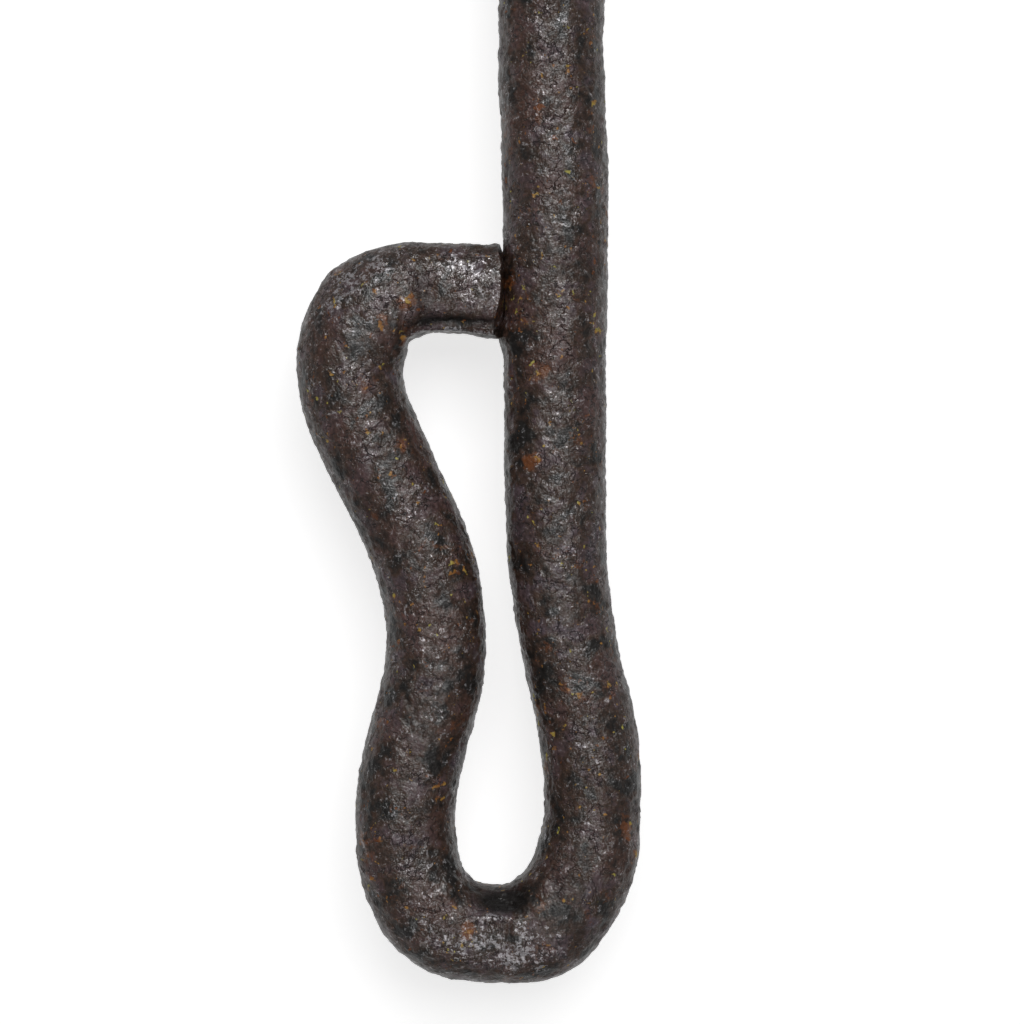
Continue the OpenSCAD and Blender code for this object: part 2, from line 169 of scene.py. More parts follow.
# The handle from the foot of the running bar down, round and back to the cut end of its tail, in millimetres.
# Each row of bends is one stretch: degrees of turn (0 is straight), its radius or length, and by its end the
# half thickness and the swelling of its outer side, as shares of the bar's radius
handle = dict(
    barRadius=6.35, runBelowGuide=2.5, startInGuide=8.0,
    bends=[
        (0, 32.5, 1, 0),               # shank below the guide
        (1.6, 60, 1, 0), (0, 15.7, 1.005, 0), (-1.6, 60, 0.99, 0),       # it wanders half a millimetre
        (0, 36.5, 0.955, 0),           # shank beside the tail
        (13.7, 88.7, 0.89, 0), (0, 2.7, 0.925, 0), (-13.7, 47.9, 0.93, 0), (0, 1.9, 0.91, 0),     # kink out
        (-46.8, 17.7, 0.96, 0.13), (-47.5, 6.7, 0.94, 0.01), (0, 3.6, 0.94, 0),     # first bottom corner
        (-51, 6.7, 0.97, 0.07), (-34.7, 17.7, 0.95, 0),                  # second bottom corner
        (-14.4, 29, 0.94, 0), (0, 7.2, 0.94, 0),
        (39.4, 31.5, 0.955, 0), (0, 13.8, 0.98, 0),                      # waist, then the flare away
        (-25, 14.6, 0.985, 0.03), (-45, 9.6, 1.02, 0.16), (-45, 9.6, 0.91, 0)],     # shoulder, square corner
    besideTail=4, bottomFirst=9, bottomLast=13,     # which rows these are, counted from 0
    fine=0.02, rowSpacing=0.31, aroundBar=116,      # steps of centreline and rings, and points in a ring
    easing=3.0, bowlEase=4.5,                       # how far bends and the inner bottom run together
    squareness=2.3, tailSquareness=3.0,             # exponent of the section: 2 is round
    forgedOver=4.0, smoothShare=0.12, flushOver=1.0,      # the smooth bar turns rough below the guide
    tailTurn=-270, tailHalf=0.9, tailOverlap=0.5,
    tailSlant=0.8, tailSlantLow=2.2, slantPower=1.5, tailTopBevel=1.0, bevelFrom=0.5,     # its cut end
    cutFrom=8.0, cutFull=6.0, cutEase=0.5, cutRelief=0.3,
    endRings=18, endLeast=0.05,                     # rings that close the cut end, down to this share of it
    proud=0.02, hollow=(0.06, 0.42))                # raised by; depths at which the hollows' soot and painted shade start and are full
forging = dict(blowSize=(4.6, 4.6, 7.0), blowDepth=0.14, wander=0.14, wanderSize=9.0, scale=0.12,
               scaleSize=1.9, grit=0.16, gritSize=0.72, pitSize=1.4, pitDepth=0.09)
forgingSeed = 3

# Single blows, folds and burrs of this handle: millimetres along it, degrees round it from its outer side
# (-90 is the room side and 180 the inner side), how far each spreads along and round, how far it stands out,
# and its wear, from 1 for rubbed bright to -1 for darkened with soot and painted shade
blows = [
    # negative wear paints shade, with soot, into the crack, the fold under the bowl, the bowl's inner side,
    # and the hollow, groove and underside of the tail
    (144.2, -76, 4, 24, -0.45, 1.2),                                  # flat struck on the front of the bottom
    (144.5, -93, 0.3, 11, -0.35, -1.4),                               # its crack
    (152, -78, 4, 20, -0.25, 0.6),                                    # lighter flat beside it
    (144.2, -134, 4.5, 18, -0.9, -1.8), (146.4, -110, 1.7, 5, 0.5, 1.5),      # fold under the bowl, its ridge
    (142.6, 180, 3, 45, -0.15, -0.4), (147.2, 180, 4, 50, -0.4, -0.4),        # bowl, worked round
    (151.9, 180, 3, 45, -0.25, -0.4),
    (136, 180, 3.5, 45, -0.5, 0), (157.5, 180, 3.5, 45, -0.7, 0),     # and eased at both sides
    (188, 0, 6, 60, -0.25, 0),                                        # waist
    (230.5, -48, 4.5, 24, -0.45, 1), (241, -64, 3.5, 22, -0.35, 1),   # flats struck on corner and tail
    (236, -90, 1.2, 40, -0.2, -0.6),                                  # hollow between those two
    (240, -124, 9, 8, -0.4, -1), (240, -143, 8, 8, 0.4, 1.2),         # groove and ridge under the tail
    (238, 180, 9, 50, -0.9, -0.2), (231, 180, 3, 45, -0.7, -0.2),     # tail and corner, drawn thin below
    (68, 180, 1.6, 30, 0.7, 0), (244, 180, 2, 50, 0.45, 0),           # burrs where the tail meets the shank
]

blockLow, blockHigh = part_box("stop_block")
barAxisY = (blockLow.y + blockHigh.y) / 2
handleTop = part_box("lower_guide")[0].z / mm - handle["runBelowGuide"]
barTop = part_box("bolt_bar")[1].z / mm


def spreadOut(values, window):
    # moving average over that many samples, with the ends held
    padded = np.pad(values, window, mode="edge")
    return np.convolve(padded, np.ones(window) / window, "same")[window:-window]


def handleCentreline(h):
    # heading is the running sum of the turns, and the place is the running sum of its sine and cosine
    turns, sizes, halves, upsets = np.array(h["bends"]).T
    lengths = np.where(turns == 0, sizes, sizes * np.radians(np.abs(turns)))
    knots = np.concatenate([[0], np.cumsum(lengths)])
    start = -(h["startInGuide"] + h["runBelowGuide"])
    along = np.arange(start, knots[-1], h["fine"])
    heading = np.radians(np.interp(along, knots, np.concatenate([[0], np.cumsum(turns)])))
    heading = spreadOut(heading, int(h["easing"] / h["fine"]))
    x = np.cumsum(np.sin(heading)) * h["fine"]
    z = handleTop - start - np.cumsum(np.cos(heading)) * h["fine"]
    beside = h["besideTail"]
    shankEdge = np.interp(knots[beside], along, x) - h["barRadius"] * halves[beside - 1]
    tailEnd = shankEdge + h["tailOverlap"]
    length = knots[-1] + tailEnd - x[-1]
    along = np.append(along, length)
    ends = np.append(knots, length)
    table = np.stack([
        np.append(x, tailEnd), np.append(z, z[-1]), np.append(heading, np.radians(h["tailTurn"])),
        np.interp(along, ends, np.concatenate([[1], halves, [h["tailHalf"]]])),
        np.interp(along, ends, np.concatenate([[0], upsets, [0]]))])
    return along, table, knots, length, shankEdge


def forgedHandle(name, h, recipe):
    # a ring of the section |x|^n + |y|^n = 1 is carried along the centreline, pressed in and out by the
    # relief and the blows (bell curves), then cut by the slanted plane at the tail
    along, table, knots, length, shankEdge = handleCentreline(h)
    endRings, held = h["endRings"], h["endRings"] - 1
    s = np.append(np.arange(along[0], length, h["rowSpacing"]), np.full(endRings, length))
    closing = np.ones((len(s), 1))
    closing[-endRings:, 0] = np.linspace(1.0, h["endLeast"], endRings)
    centreX, centreZ, turn, half, upset = [np.interp(s, along, row)[:, None] for row in table]
    forged = smoothStep(s, 0, h["forgedOver"])[:, None]
    atTail = smoothStep(s, knots[-3], knots[-1])[:, None]
    power = 2 / (2 + (h["squareness"] - 2) * forged + (h["tailSquareness"] - h["squareness"]) * atTail)
    angle = np.linspace(0, 2 * np.pi, h["aroundBar"], endpoint=False)[None]
    c, d = np.cos(angle), np.sin(angle)
    wide = np.sign(c) * np.abs(c) ** power * h["barRadius"] * (half + upset * np.clip(c, 0, 1)) * closing
    deep = np.sign(d) * np.abs(d) ** power * h["barRadius"] * half * closing
    grid = np.stack([centreX + wide * np.cos(turn), barAxisY / mm + deep, centreZ + wide * np.sin(turn)], -1)

    # the crowded inner side of the bottom is rounded by a moving average of its places along the bar
    rows = int(h["bowlEase"] / h["rowSpacing"])
    padded = np.cumsum(np.pad(grid, ((rows + 1, rows), (0, 0), (0, 0)), mode="edge"), axis=0)
    averaged = (padded[2 * rows + 1:] - padded[:-2 * rows - 1]) / (2 * rows + 1)
    first, last = h["bottomFirst"], h["bottomLast"]
    pastFirst = smoothStep(s, knots[first], knots[first + 1])
    beforeLast = 1 - smoothStep(s, knots[last], knots[last + 1])
    inner = np.clip(-c, 0, 1) * (pastFirst * beforeLast)[:, None]
    grid += inner[..., None] * (averaged - grid)

    normals = gridNormals(grid[:-held])
    relief = h["proud"] + forgeRelief(grid.reshape(-1, 3), recipe, forgingSeed).reshape(grid.shape[:2])
    # the relief's hollows are painted dark, with soot and with painted shade
    wearAndShade = -smoothStep(h["proud"] - relief, *h["hollow"])
    for place, side, spread, reach, height, wornAndShaded in blows:
        away = (np.degrees(angle) - side + 180) % 360 - 180
        struck = np.exp(-((s[:, None] - place) / spread) ** 2 - (away / reach) ** 2)
        relief += height * struck
        wearAndShade += wornAndShaded * struck
    relief *= h["smoothShare"] + (1 - h["smoothShare"]) * forged
    relief = np.where(s[:, None] < h["flushOver"], np.minimum(relief, 0), relief)
    grid[:-held] += normals * relief[:-held, :, None]

    # the cut end: x is held below a plane that lies further back towards the room and towards the bottom
    share = (grid[..., 1] - barAxisY / mm) / h["barRadius"]
    low = (table[1, -1] - grid[..., 2]) / h["barRadius"]
    slant = h["tailSlant"] + h["tailSlantLow"] * np.clip(low, 0, 1) ** h["slantPower"]
    bevel = h["tailTopBevel"] * np.clip(-low - h["bevelFrom"], 0, 1 - h["bevelFrom"]) / (1 - h["bevelFrom"])
    plane = shankEdge + h["tailOverlap"] - np.clip(-share, 0, 1) * slant - bevel + h["cutRelief"] * relief
    ease = h["cutEase"]     # the plane's edge is rounded by this much, as a parabola that meets it
    atEnd = smoothStep(s[:, None], length - h["cutFrom"], length - h["cutFull"])
    over = atEnd * np.clip(grid[..., 0] - plane + ease, 0, None)
    grid[..., 0] -= np.where(over > 2 * ease, over - ease, over ** 2 / (4 * ease))
    piece = closedTube(name, grid * mm)
    storeWearAndShade(piece, np.append(wearAndShade.ravel(), [0, 0]))
    return piece


forgedLoop = forgedHandle("forged_handle", handle, forging)
print("handle", len(forgedLoop.data.polygons), "faces")

# The running bar, above the handle: smoother, with a bevelled tip and the groove that the block's pins run in
runningBar = dict(rowSpacing=0.5, around=96, tipBevel=1.6, bevelRings=8, grooveDepth=1.4, grooveHeight=3.2,
                  closingRings=8, closingFrom=0.92, closingTo=0.06, roughShare=0.3, deepest=0.12)


def turnedBar(name, b):
    # a lathe profile: distance from the axis as a function of height, with scale and slight flats pressed in
    low = handleTop + handle["startInGuide"] + handle["runBelowGuide"]
    bevelFoot = barTop - b["tipBevel"]
    heights = np.concatenate([
        np.arange(low, bevelFoot, b["rowSpacing"]), np.linspace(bevelFoot, barTop, b["bevelRings"]),
        np.full(b["closingRings"], barTop)])
    radius = np.full(len(heights), handle["barRadius"])
    radius -= np.clip(heights - bevelFoot, 0, None)
    radius[-b["closingRings"]:] *= np.linspace(b["closingFrom"], b["closingTo"], b["closingRings"])
    grooveAt = (blockLow.z + blockHigh.z) / 2 / mm
    inGroove = np.abs(heights - grooveAt) < b["grooveHeight"] / 2
    radius = np.where(inGroove, handle["barRadius"] - b["grooveDepth"], radius)
    angle = np.linspace(0, 2 * np.pi, b["around"], endpoint=False)
    outward = np.stack([np.cos(angle), -np.sin(angle), 0 * angle], -1)[None]
    axis = np.stack([0 * heights, 0 * heights + barAxisY / mm, heights], -1)[:, None]
    grid = axis + outward * radius[:, None, None]
    relief = forgeRelief(grid.reshape(-1, 3), forging, forgingSeed).reshape(grid.shape[:2])
    relief = np.clip(relief * b["roughShare"], -b["deepest"], 0)
    grid = grid + outward * relief[..., None]
    return closedTube(name, grid[::-1] * mm)


upperBar = turnedBar("running_bar", runningBar)
print("running bar", len(upperBar.data.polygons), "faces")

# Plates, guides, block and rivets: the CAD forms, remeshed and hammered. A relief's sizes and depths are in
# millimetres, and so is the voxel of each piece's remesh
sheetIron = dict(blowSize=(8.0, 8.0, 8.0), blowDepth=0.16, wander=0.10, wanderSize=14.0, scale=0.09,
                 scaleSize=2.2, grit=0.09, gritSize=1.0, pitSize=1.8, pitDepth=0.09)
smithWork = dict(blowSize=(5.0, 5.0, 5.0), blowDepth=0.22, wander=0.12, wanderSize=7.0, scale=0.09,
                 scaleSize=1.8, grit=0.10, gritSize=0.9, pitSize=1.4, pitDepth=0.09)
rivetWork = dict(blowSize=(2.4, 2.4, 2.4), blowDepth=0.20, wander=0.08, wanderSize=3.0, scale=0.05,
                 scaleSize=1.2, grit=0.05, gritSize=0.6, pitSize=1.2, pitDepth=0.05)
springWork = dict(blowSize=(12.0, 12.0, 12.0), blowDepth=0.03, wander=0.02, wanderSize=9.0, scale=0.02,
                  scaleSize=1.4, grit=0.01, gritSize=0.8, pitSize=1.2, pitDepth=0.03)
hammered = dict(
    back_plate=dict(voxel=0.46, smooth=5, relief=sheetIron, seed=11, slot="plate_iron"),
    keep_plate=dict(voxel=0.46, smooth=5, relief=sheetIron, seed=131, slot="plate_iron"),
    lower_guide=dict(voxel=0.40, smooth=5, relief=smithWork, seed=251, slot="guide_iron", clearance=0.08),
    upper_guide=dict(voxel=0.40, smooth=5, relief=smithWork, seed=371, slot="guide_iron", clearance=0.08),
    keep_eye=dict(voxel=0.40, smooth=5, relief=smithWork, seed=491, slot="guide_iron", clearance=0.6),
    stop_block=dict(voxel=0.40, smooth=4, relief=smithWork, seed=611, slot="block_iron", clearance=0.08),
    block_pins=dict(voxel=0.22, smooth=3, relief=rivetWork, seed=731, slot="rivet_iron"),
    lower_guide_rivets=dict(voxel=0.24, smooth=3, relief=rivetWork, seed=851, slot="rivet_iron"),
    upper_guide_rivets=dict(voxel=0.24, smooth=3, relief=rivetWork, seed=971, slot="rivet_iron"),
    keep_rivets=dict(voxel=0.24, smooth=3, relief=rivetWork, seed=1091, slot="rivet_iron"),
    leaf_rivet=dict(voxel=0.20, smooth=2, relief=rivetWork, seed=1211, slot="rivet_iron"),
    leaf_spring=dict(voxel=0.30, smooth=2, relief=springWork, seed=1331, slot="spring_steel"))
fitting = dict(proudest=0.03, flatFrom=0.1, flatTo=1.0,     # the rear face stays flat over this depth
               boreClearance=0.08, quietFrom=0.1, quietTo=1.2, boreSpare=0.05)     # and each bore stays true


def hammeredCopy(node, spec, f):
    # a merged copy of the CAD form is remeshed, softened, and moved along its normals by the relief
    mesh = frame["nodes"][node].data.copy()
    mesh.materials.clear()
    shaper = bmesh.new()
    shaper.from_mesh(mesh)
    bmesh.ops.remove_doubles(shaper, verts=shaper.verts, dist=1e-6)
    shaper.to_mesh(mesh)
    shaper.free()
    rough = bpy.data.objects.new(node + "_rough", mesh)
    bpy.context.scene.collection.objects.link(rough)
    remesh = rough.modifiers.new("remesh", "REMESH")
    remesh.mode = "VOXEL"
    remesh.voxel_size = spec["voxel"] * mm
    soften = rough.modifiers.new("soften", "SMOOTH")
    soften.iterations = spec["smooth"]
    finished = bpy.data.meshes.new_from_object(rough.evaluated_get(bpy.context.evaluated_depsgraph_get()))
    bpy.data.objects.remove(rough)
    read = {}
    for what in ("co", "normal"):
        values = np.zeros(len(finished.vertices) * 3)
        finished.vertices.foreach_get(what, values)
        read[what] = values.reshape(-1, 3)
    points = read["co"] / mm
    relief = np.minimum(forgeRelief(points, spec["relief"], spec["seed"]), f["proudest"])
    relief *= smoothStep(-points[:, 1], f["flatFrom"], f["flatTo"])
    fromAxis = np.hypot(points[:, 0], points[:, 1] - barAxisY / mm)
    bore = handle["barRadius"] + f["boreClearance"]
    relief *= smoothStep(fromAxis, bore + f["quietFrom"], bore + f["quietTo"])
    points += read["normal"] * relief[:, None]
    if "clearance" in spec:     # the remesh rounds a bore, so what lies near it is set on its circle again
        hole = handle["barRadius"] + spec["clearance"]
        near = np.abs(fromAxis - hole) < spec["voxel"]
        share = np.where(near, (hole + f["boreSpare"]) / np.maximum(fromAxis, 1e-6), 1.0)
        points[:, 0] *= share
        points[:, 1] = (points[:, 1] - barAxisY / mm) * share + barAxisY / mm
    finished.vertices.foreach_set("co", (points * mm).ravel())
    finished.polygons.foreach_set("use_smooth", np.ones(len(finished.polygons), bool))
    finished.update()
    piece = bpy.data.objects.new("forged_" + node, finished)
    bpy.context.scene.collection.objects.link(piece)
    # the relief's hollows are painted dark, with soot and with painted shade
    storeWearAndShade(piece, -smoothStep(-relief, *handle["hollow"]))
    return piece


madePieces = {}
for node, spec in hammered.items():
    madePieces[node] = hammeredCopy(node, spec, fitting)
    print(node, len(madePieces[node].data.polygons), "faces")

# The camera looks straight at the wall: lens, sensor and place from the bar's axis in millimetres, roll in
# degrees, and the nearest and furthest that it sees in metres
camera = dict(lens=135, sensor=36, distance=460.8, right=-4.91, up=-139.97, roll=0.0,
              nearest=0.01, furthest=50)


def makeCamera(spec):
    # turned a quarter about x, so that it looks along +y with z up, and rolled about its own axis
    data = bpy.data.cameras.new("photo_camera")
    data.lens = spec["lens"]
    data.sensor_width = spec["sensor"]
    data.sensor_fit = "AUTO"
    data.clip_start = spec["nearest"]
    data.clip_end = spec["furthest"]
    holder = bpy.data.objects.new("photo_camera", data)
    place = Vector((spec["right"] * mm, barAxisY - spec["distance"] * mm, spec["up"] * mm))
    upright = Matrix.Rotation(np.pi / 2, 4, "X") @ Matrix.Rotation(np.radians(spec["roll"]), 4, "Z")
    holder.matrix_world = Matrix.Translation(place) @ upright
    bpy.context.scene.collection.objects.link(holder)
    bpy.context.scene.camera = holder
    return holder


photoCamera = makeCamera(camera)
focal = max(pictureWidth, pictureHeight) * camera["lens"] / camera["sensor"]     # in pixels
print("camera set")


def placeOn(tree, imagePoint):
    # the ray through an image point meets the tree; a miss takes the place nearest to the ray
    x, y = imagePoint
    ray = Vector((x - pictureWidth / 2, pictureHeight / 2 - y, -focal)).normalized()
    ray = photoCamera.matrix_world.to_3x3() @ ray
    origin = photoCamera.matrix_world.translation
    hit = tree.ray_cast(origin, ray)[0]
    if hit is None:
        hit = tree.find_nearest(origin + ray * camera["distance"] * mm)[0]
    return hit


# A rust spot's size, how much a noise breaks it up, and that noise's size, in millimetres
rustSpots = dict(size=1.3, ragged=0.8, raggedSize=1.1, seed=5)


def paintRust(piece, spots, r):
    # a number per vertex: 1 in the middle of each placed rust spot, fading by a bell curve broken up by noise
    points = np.zeros(len(piece.data.vertices) * 3)
    piece.data.vertices.foreach_get("co", points)
    points = points.reshape(-1, 3)
    tree = BVHTree.FromPolygons(points.tolist(), [face.vertices for face in piece.data.polygons])
    centres = np.array([placeOn(tree, spot) for spot in spots.values()])
    broken = 1 + r["ragged"] * softNoise(points / mm, r["raggedSize"], r["seed"])
    away = np.linalg.norm(points[:, None] - centres[None], axis=-1) / (r["size"] * mm) * broken[:, None]
    layer = piece.data.attributes.new("rust", "FLOAT", "POINT")
    layer.data.foreach_set("value", np.exp(-away ** 2).max(1).astype(np.float32))
    return points, centres


handlePoints, rustCentres = paintRust(forgedLoop, rustPoints, rustSpots)


def linear(hexColour):
    # sRGB hex to linear RGBA: values up to 0.04045 over 12.92, others by the power 2.4
    values = np.array([int(hexColour[k:k + 2], 16) for k in (1, 3, 5)]) / 255
    values = np.where(values <= 0.04045, values / 12.92, ((values + 0.055) / 1.055) ** 2.4)
    return (*values.tolist(), 1.0)


def addNode(tree, kind, sockets=None, stops=None, **settings):
    # a node with its settings, its sockets linked or set, and its colour ramp's stops
    node = tree.nodes.new(kind)
    for key, value in settings.items():
        setattr(node, key, value)
    for key, value in (sockets or {}).items():
        if isinstance(value, bpy.types.NodeSocket):
            tree.links.new(value, node.inputs[key])
        else:
            node.inputs[key].default_value = value
    if stops:
        while len(node.color_ramp.elements) < len(stops):
            node.color_ramp.elements.new(0.5)
        for element, (place, colour) in zip(node.color_ramp.elements, stops):
            element.position = place
            element.color = colour
    return node


# Waxed wrought iron with its forge scale left on: near black with brown, red-brown and violet-grey mottling,
# soft rust blooms with ochre flecks, and a glossy wax over fine grains, so that a lamp breaks up into small
# sparks. Sparks and grains are drawn coarser than the real ones, so that they show
ironColours = dict(black="#171412", brown="#3c2b22", red="#472f27", violet="#4b3f45",     # scale
                   bloom="#6a3d20", orange="#9c7036", ochre="#a09848",                    # rust, its flecks
                   sootAndShade="#0d0b0a", bare="#c8c6ca")                                        # soot and painted shade of hollows, sparks
ironNoises = dict(     # size in millimetres, detail and roughness of each noise
    mottle=(3.0, 4, 0.6), tint=(6.0, 5, 0.65), fine=(0.5, 2, 0.6),
    cluster=(4.2, 5, 0.7), fleck=(0.9, 2, 0.55), hue=(2.25, 1, 0.5),
    crack=(2.2, 3, 0.6), handled=(2.0, 3, 0.6), spark=(0.5, 3, 0.75),
    grain=(0.26, 2, 0.6), lump=(0.6, 2, 0.5))
ironSpans = dict(      # what each number's range, from and to, is turned into
    red=(0.50, 0.64, 0, 0.7), shade=(0.3, 0.7, 0.55, 1.5),
    bloom=(0.60, 0.69, 0, 0.85), fleck=(0.95, 1.0, 0, 0.9),
    crackEdge=(0, 0.022, 1, 0), crackWhere=(0.42, 0.55, 0, 0.9), shadedAndSooted=(0, 1, 0, 0.95),
    spark=(0.872, 1.022, 0, 0.62), polish=(0.20, 0.53, 0.35, 1.0))
waxedIron = dict(
    colours=ironColours, noises=ironNoises, spans=ironSpans,
    scaleStops=(0.38, 0.50, 0.64), rustStops=(0.42, 0.52, 0.66),
    spotPull=0.16, bloomPull=0.55, sootAndShadePull=-0.5, rubPull=0.36, handledPull=0.5,     # what brings on what
    grainDeep=0.09, lumpDeep=0.14, dull=0.45, sparkSmooth=0.65, gloss=0.3, wax=0.78, waxRough=0.08)
# Sheet iron of the two plates: browner and less waxed, so its grains shine less
plateIron = dict(waxedIron, colours=dict(ironColours, black="#1d1815", brown="#42301f"),
                 wax=0.7, waxRough=0.25, grainDeep=0.08)
# Rivet iron, hammered cold: smaller mottling and less rust
rivetIron = dict(waxedIron, noises=dict(ironNoises, mottle=(2.4, 4, 0.6)),
                 spans=dict(ironSpans, bloom=(0.64, 0.73, 0, 0.85)))
# Spring steel blackened in oil: blue-black, smoother and more even than the iron
oilBlackSteel = dict(
    waxedIron, colours=dict(ironColours, black="#15171a", brown="#1f2023", red="#26262a", violet="#2c2f36"),
    spans=dict(ironSpans, bloom=(0.74, 0.83, 0, 0.85), fleck=(1.10, 1.15, 0, 0.9)),
    grainDeep=0.02, lumpDeep=0.03, dull=0.38, wax=0.5)


def ironFinish(name, recipe):
    # colour: mottled scale, then rust blooms, soot and painted shade, flecks and sparks. Height: grains less
    # cracks, on lumps
    material = bpy.data.materials.new(name)
    material.use_nodes = True
    tree = material.node_tree
    tree.nodes.clear()
    colours = {key: linear(value) for key, value in recipe["colours"].items()}
    spans = {key: dict(zip(("From Min", "From Max", "To Min", "To Max"), ends))
             for key, ends in recipe["spans"].items()}
    place = addNode(tree, "ShaderNodeTexCoord").outputs["Object"]
    noise = {}
    for key, (size, detail, rough) in recipe["noises"].items():
        noise[key] = addNode(tree, "ShaderNodeTexNoise", {
            "Vector": place, "Scale": 1 / (size * mm), "Detail": detail, "Roughness": rough}).outputs["Fac"]
    stored = {key: addNode(tree, "ShaderNodeAttribute", attribute_name=key).outputs["Fac"]
              for key in ("rust", "sootAndShade", "rub")}

    scaleStops = list(zip(recipe["scaleStops"], (colours["black"], colours["brown"], colours["violet"])))
    scaleColour = addNode(tree, "ShaderNodeValToRGB", {
        "Fac": noise["mottle"]}, stops=scaleStops).outputs["Color"]
    redShare = addNode(tree, "ShaderNodeMapRange", {"Value": noise["tint"], **spans["red"]}).outputs["Result"]
    withRed = addNode(tree, "ShaderNodeMix", {
        "Factor": redShare, "A": scaleColour, "B": colours["red"]}, data_type="RGBA").outputs["Result"]
    shade = addNode(tree, "ShaderNodeMapRange", {"Value": noise["fine"], **spans["shade"]}).outputs["Result"]
    shaded = addNode(tree, "ShaderNodeVectorMath", {
        0: withRed, "Scale": shade}, operation="SCALE").outputs["Vector"]

    # rust: where the painted spots or a noise say so, a soft bloom, and flecks crowded inside it
    rusty = addNode(tree, "ShaderNodeMath", {
        0: stored["rust"], 1: recipe["spotPull"],
        2: noise["cluster"]}, operation="MULTIPLY_ADD").outputs["Value"]
    bloom = addNode(tree, "ShaderNodeMapRange", {"Value": rusty, **spans["bloom"]}).outputs["Result"]
    withBloom = addNode(tree, "ShaderNodeMix", {
        "Factor": bloom, "A": shaded, "B": colours["bloom"]}, data_type="RGBA").outputs["Result"]
    crowded = addNode(tree, "ShaderNodeMath", {
        0: rusty, 1: recipe["bloomPull"], 2: noise["fleck"]}, operation="MULTIPLY_ADD").outputs["Value"]
    fleck = addNode(tree, "ShaderNodeMapRange", {"Value": crowded, **spans["fleck"]}).outputs["Result"]
    rustStops = list(zip(recipe["rustStops"], (colours["bloom"], colours["orange"], colours["ochre"])))
    fleckColour = addNode(tree, "ShaderNodeValToRGB", {"Fac": noise["hue"]}, stops=rustStops).outputs["Color"]

    # cracks: thin wandering lines where a noise passes its middle value, broken up by the mottle. They hold
    # soot and old wax, and the stored hollows soot and painted shade, so they are darker, duller and without
    # sparks
    passing = addNode(tree, "ShaderNodeMath", {
        0: noise["crack"], 1: 0.5}, operation="SUBTRACT").outputs["Value"]
    away = addNode(tree, "ShaderNodeMath", {0: passing}, operation="ABSOLUTE").outputs["Value"]
    edge = addNode(tree, "ShaderNodeMapRange", {"Value": away, **spans["crackEdge"]}).outputs["Result"]
    where = addNode(tree, "ShaderNodeMapRange", {
        "Value": noise["mottle"], **spans["crackWhere"]}).outputs["Result"]
    crack = addNode(tree, "ShaderNodeMath", {0: edge, 1: where}, operation="MULTIPLY").outputs["Value"]
    cracksAndShadedHollows = addNode(tree, "ShaderNodeMath", {
        0: stored["sootAndShade"], 1: crack}, operation="MAXIMUM").outputs["Value"]
    shadedAndSooted = addNode(tree, "ShaderNodeMapRange", {"Value": cracksAndShadedHollows, **spans["shadedAndSooted"]}).outputs["Result"]
    shadedSootyColour = addNode(tree, "ShaderNodeMix", {
        "Factor": shadedAndSooted, "A": withBloom, "B": colours["sootAndShade"]}, data_type="RGBA").outputs["Result"]
    rusted = addNode(tree, "ShaderNodeMix", {
        "Factor": fleck, "A": shadedSootyColour, "B": fleckColour}, data_type="RGBA").outputs["Result"]

    # sparks: the tops of the finest grains are rubbed to bright iron, most where the piece is handled or
    # struck, and the wax is polished there too
    handled = addNode(tree, "ShaderNodeMath", {
        0: cracksAndShadedHollows, 1: recipe["sootAndShadePull"], 2: noise["handled"]}, operation="MULTIPLY_ADD").outputs["Value"]
    rubbed = addNode(tree, "ShaderNodeMath", {
        0: stored["rub"], 1: recipe["rubPull"], 2: handled}, operation="MULTIPLY_ADD").outputs["Value"]
    brightest = addNode(tree, "ShaderNodeMath", {
        0: rubbed, 1: recipe["handledPull"], 2: noise["spark"]}, operation="MULTIPLY_ADD").outputs["Value"]
    spark = addNode(tree, "ShaderNodeMapRange", {"Value": brightest, **spans["spark"]}).outputs["Result"]
    polish = addNode(tree, "ShaderNodeMapRange", {"Value": rubbed, **spans["polish"]}).outputs["Result"]
    colour = addNode(tree, "ShaderNodeMix", {
        "Factor": spark, "A": rusted, "B": colours["bare"]}, data_type="RGBA").outputs["Result"]
    roughness = addNode(tree, "ShaderNodeMath", {
        0: spark, 1: -recipe["sparkSmooth"] * recipe["dull"], 2: recipe["dull"]}, operation="MULTIPLY_ADD")
    unrusted = addNode(tree, "ShaderNodeMath", {0: 1.0, 1: fleck}, operation="SUBTRACT").outputs["Value"]
    waxed = addNode(tree, "ShaderNodeMath", {0: unrusted, 1: polish}, operation="MULTIPLY").outputs["Value"]
    coat = addNode(tree, "ShaderNodeMath", {
        0: waxed, 1: recipe["wax"]}, operation="MULTIPLY").outputs["Value"]

    # grains and lumps too fine for the mesh
    lumpBump = addNode(tree, "ShaderNodeBump", {
        "Height": noise["lump"], "Distance": recipe["lumpDeep"] * mm}).outputs["Normal"]
    cut = addNode(tree, "ShaderNodeMath", {
        0: crack, 1: -1.0, 2: noise["grain"]}, operation="MULTIPLY_ADD").outputs["Value"]
    grainBump = addNode(tree, "ShaderNodeBump", {
        "Height": cut, "Distance": recipe["grainDeep"] * mm, "Normal": lumpBump}).outputs["Normal"]
    shader = addNode(tree, "ShaderNodeBsdfPrincipled", {
        "Base Color": colour, "Metallic": spark, "Roughness": roughness.outputs["Value"],
        "Specular IOR Level": recipe["gloss"], "IOR": 1.5, "Normal": grainBump,
        "Coat Weight": coat, "Coat Roughness": recipe["waxRough"], "Coat Normal": grainBump})
    addNode(tree, "ShaderNodeOutputMaterial", {"Surface": shader.outputs["BSDF"]})
    return material


